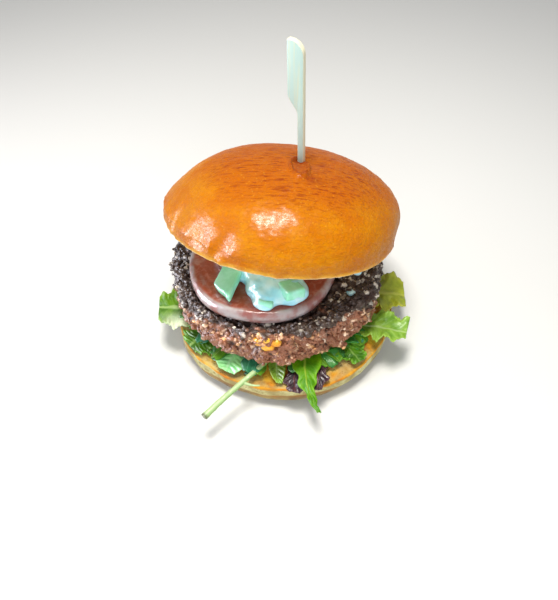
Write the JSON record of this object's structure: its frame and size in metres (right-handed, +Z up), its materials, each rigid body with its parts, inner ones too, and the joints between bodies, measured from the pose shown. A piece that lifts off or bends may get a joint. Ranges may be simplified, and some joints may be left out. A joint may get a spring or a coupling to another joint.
{
  "type": "veggie burger",
  "caption": "Veggie burger: a craggy browned patty in a glazed brioche bun with tomato, white cucumber sauce and mixed salad leaves, held by a flat wooden paddle pick.",
  "frame": {"origin": "middle of the flat face under the heel, where the burger stands", "axes": "+Z up through the layers, -Y towards the open front that shows the filling, +X to the right seen from the front"},
  "size_m": [0.1225, 0.1346, 0.1374],
  "materials": {
    "crust": "glazed amber crust",
    "crumb": "soft pale crumb, toasted on the cut face",
    "patty": "craggy, browned",
    "tomato": "wet",
    "sauce": "creamy",
    "cucumber": "wet",
    "wood": "bare, fine grain",
    "stalk": "smooth",
    "green_leaf": "waxy",
    "pale_leaf": "waxy",
    "red_leaf": "waxy"
  },
  "bodies": {
    "root": {"bun_heel": "crumb", "bun_crown": "crust", "patty": "patty", "tomato_slice": "tomato", "white_sauce": "sauce", "cucumber_left": "cucumber", "cucumber_right": "cucumber", "cucumber_low": "cucumber", "paddle_pick": "wood", "salad_bed": "green_leaf", "rocket_stalk": "stalk", "lettuce_left": "pale_leaf", "leaf_green_left": "green_leaf", "leaf_mint_left": "pale_leaf", "leaf_teal_left": "green_leaf", "leaf_pale_middle": "pale_leaf", "leaf_red_left": "red_leaf", "leaf_green_front": "green_leaf", "leaf_red_right": "red_leaf", "leaf_right_low": "green_leaf", "leaf_right": "green_leaf", "leaf_right_back": "green_leaf", "leaf_back_right": "green_leaf", "leaf_back": "green_leaf", "leaf_back_left": "red_leaf"}
  },
  "joints": []
}
